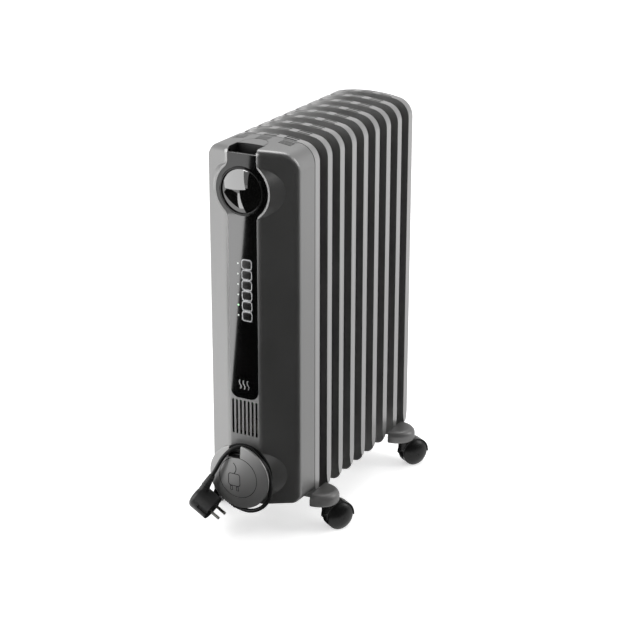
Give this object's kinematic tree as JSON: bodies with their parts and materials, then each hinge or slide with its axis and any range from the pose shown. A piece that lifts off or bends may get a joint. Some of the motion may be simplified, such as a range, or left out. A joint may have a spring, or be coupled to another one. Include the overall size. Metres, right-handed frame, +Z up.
{
  "type": "oil filled radiator heater",
  "caption": "Tall finned oil radiator on swivel casters, with a control housing, push buttons and a wound mains lead.",
  "frame": {"origin": "on the floor, under the middle of the heater without its cord", "axes": "+X across the fins to the right seen from the controls, +Y from the controls to the last fin, +Z up"},
  "size_m": [0.2558, 0.4787, 0.6435],
  "materials": {
    "fin_enamel": "satin grey enamel",
    "housing_plastic": "fine satin grey",
    "dark_steel": "black enamel",
    "strip_gloss": "piano black",
    "bezel_gloss": "gloss black",
    "lens_gloss": "smoked gloss lens",
    "display": "display glass",
    "button_gloss": "gloss black",
    "silver_trim": "satin silver",
    "light_pipe": "milky clear",
    "circuit_board": "solder mask",
    "inner_plastic": "cream",
    "black_plastic": "fine matt",
    "reel_plastic": "fine satin grey",
    "gland_rubber": "matt",
    "cord_sheath": "satin PVC",
    "plug_rubber": "satin PVC",
    "pin_nickel": "nickel plate",
    "zinc_steel": "bright zinc",
    "element_steel": "drawn",
    "cap_plastic": "fine satin grey",
    "caster_hood": "satin black",
    "caster_wheel": "satin black"
  },
  "bodies": {
    "heater": {"back_plate": "dark_steel", "button_frame": "silver_trim", "cable_gland": "gland_rubber", "control_board": "circuit_board", "control_strip": "strip_gloss", "cord_coil": "cord_sheath", "cord_lead": "cord_sheath", "cord_tail": "cord_sheath", "cover_screws": "zinc_steel", "dial_bezel": "bezel_gloss", "dial_lens": "lens_gloss", "display_module": "display", "element_flange": "zinc_steel", "filler_plug": "zinc_steel", "fin_1": "fin_enamel", "fin_2": "fin_enamel", "fin_3": "fin_enamel", "fin_4": "fin_enamel", "fin_5": "fin_enamel", "fin_6": "fin_enamel", "fin_7": "fin_enamel", "fin_8": "fin_enamel", "fin_9": "fin_enamel", "foot_caps": "cap_plastic", "foot_clamps": "zinc_steel", "front_cover": "housing_plastic", "front_strap": "dark_steel", "grip_liner": "black_plastic", "heat_mark": "silver_trim", "heating_element": "element_steel", "indicator_pipes": "light_pipe", "plug_body": "plug_rubber", "plug_pins": "pin_nickel", "power_board": "circuit_board", "rear_strap": "dark_steel", "reel_disc": "reel_plastic", "reel_hub": "black_plastic", "terminal_block": "inner_plastic", "thermal_cutout": "inner_plastic", "tilt_switch": "inner_plastic"},
    "lock_button": {"lock_button": "button_gloss"},
    "minus_button": {"minus_button": "button_gloss"},
    "mode_button": {"mode_button": "button_gloss"},
    "plus_button": {"plus_button": "button_gloss"},
    "power_button": {"power_button": "button_gloss"},
    "timer_button": {"timer_button": "button_gloss"},
    "caster_front_left_fork": {"caster_front_left_fork": "caster_hood"},
    "caster_front_left_wheel_a": {"caster_front_left_wheel_a": "caster_wheel"},
    "caster_front_left_wheel_b": {"caster_front_left_wheel_b": "caster_wheel"},
    "caster_front_right_fork": {"caster_front_right_fork": "caster_hood"},
    "caster_front_right_wheel_a": {"caster_front_right_wheel_a": "caster_wheel"},
    "caster_front_right_wheel_b": {"caster_front_right_wheel_b": "caster_wheel"},
    "caster_rear_left_fork": {"caster_rear_left_fork": "caster_hood"},
    "caster_rear_left_wheel_a": {"caster_rear_left_wheel_a": "caster_wheel"},
    "caster_rear_left_wheel_b": {"caster_rear_left_wheel_b": "caster_wheel"},
    "caster_rear_right_fork": {"caster_rear_right_fork": "caster_hood"},
    "caster_rear_right_wheel_a": {"caster_rear_right_wheel_a": "caster_wheel"},
    "caster_rear_right_wheel_b": {"caster_rear_right_wheel_b": "caster_wheel"}
  },
  "joints": [
    {"name": "lock_button_press", "type": "slide", "parent": "heater", "child": "lock_button", "axis": [0, 1, 0], "range_m": [0, 0.0012], "stiffness_N_per_m": 900, "springref_m": -0.0006},
    {"name": "minus_button_press", "type": "slide", "parent": "heater", "child": "minus_button", "axis": [0, 1, 0], "range_m": [0, 0.0012], "stiffness_N_per_m": 900, "springref_m": -0.0006},
    {"name": "mode_button_press", "type": "slide", "parent": "heater", "child": "mode_button", "axis": [0, 1, 0], "range_m": [0, 0.0012], "stiffness_N_per_m": 900, "springref_m": -0.0006},
    {"name": "plus_button_press", "type": "slide", "parent": "heater", "child": "plus_button", "axis": [0, 1, 0], "range_m": [0, 0.0012], "stiffness_N_per_m": 900, "springref_m": -0.0006},
    {"name": "power_button_press", "type": "slide", "parent": "heater", "child": "power_button", "axis": [0, 1, 0], "range_m": [0, 0.0012], "stiffness_N_per_m": 900, "springref_m": -0.0006},
    {"name": "timer_button_press", "type": "slide", "parent": "heater", "child": "timer_button", "axis": [0, 1, 0], "range_m": [0, 0.0012], "stiffness_N_per_m": 900, "springref_m": -0.0006},
    {"name": "caster_front_left_swivel", "type": "hinge", "parent": "heater", "child": "caster_front_left_fork", "pos_m": [-0.095, -0.1041, 0.05], "axis": [0, 0, 1], "continuous": true},
    {"name": "caster_front_left_wheel_a_spin", "type": "hinge", "parent": "caster_front_left_fork", "child": "caster_front_left_wheel_a", "pos_m": [-0.10599, -0.08763, 0.023], "axis": [0.832, 0.5548, 0], "continuous": true},
    {"name": "caster_front_left_wheel_b_spin", "type": "hinge", "parent": "caster_front_left_fork", "child": "caster_front_left_wheel_b", "pos_m": [-0.10599, -0.08763, 0.023], "axis": [0.832, 0.5548, 0], "continuous": true},
    {"name": "caster_front_right_swivel", "type": "hinge", "parent": "heater", "child": "caster_front_right_fork", "pos_m": [0.095, -0.1041, 0.05], "axis": [0, 0, 1], "continuous": true},
    {"name": "caster_front_right_wheel_a_spin", "type": "hinge", "parent": "caster_front_right_fork", "child": "caster_front_right_wheel_a", "pos_m": [0.10599, -0.08763, 0.023], "axis": [0.832, -0.5548, 0], "continuous": true},
    {"name": "caster_front_right_wheel_b_spin", "type": "hinge", "parent": "caster_front_right_fork", "child": "caster_front_right_wheel_b", "pos_m": [0.10599, -0.08763, 0.023], "axis": [0.832, -0.5548, 0], "continuous": true},
    {"name": "caster_rear_left_swivel", "type": "hinge", "parent": "heater", "child": "caster_rear_left_fork", "pos_m": [-0.095, 0.1774, 0.05], "axis": [0, 0, 1], "continuous": true},
    {"name": "caster_rear_left_wheel_a_spin", "type": "hinge", "parent": "caster_rear_left_fork", "child": "caster_rear_left_wheel_a", "pos_m": [-0.10599, 0.19387, 0.023], "axis": [0.832, 0.5548, 0], "continuous": true},
    {"name": "caster_rear_left_wheel_b_spin", "type": "hinge", "parent": "caster_rear_left_fork", "child": "caster_rear_left_wheel_b", "pos_m": [-0.10599, 0.19387, 0.023], "axis": [0.832, 0.5548, 0], "continuous": true},
    {"name": "caster_rear_right_swivel", "type": "hinge", "parent": "heater", "child": "caster_rear_right_fork", "pos_m": [0.095, 0.1774, 0.05], "axis": [0, 0, 1], "continuous": true},
    {"name": "caster_rear_right_wheel_a_spin", "type": "hinge", "parent": "caster_rear_right_fork", "child": "caster_rear_right_wheel_a", "pos_m": [0.10599, 0.19387, 0.023], "axis": [0.832, -0.5548, 0], "continuous": true},
    {"name": "caster_rear_right_wheel_b_spin", "type": "hinge", "parent": "caster_rear_right_fork", "child": "caster_rear_right_wheel_b", "pos_m": [0.10599, 0.19387, 0.023], "axis": [0.832, -0.5548, 0], "continuous": true}
  ]
}
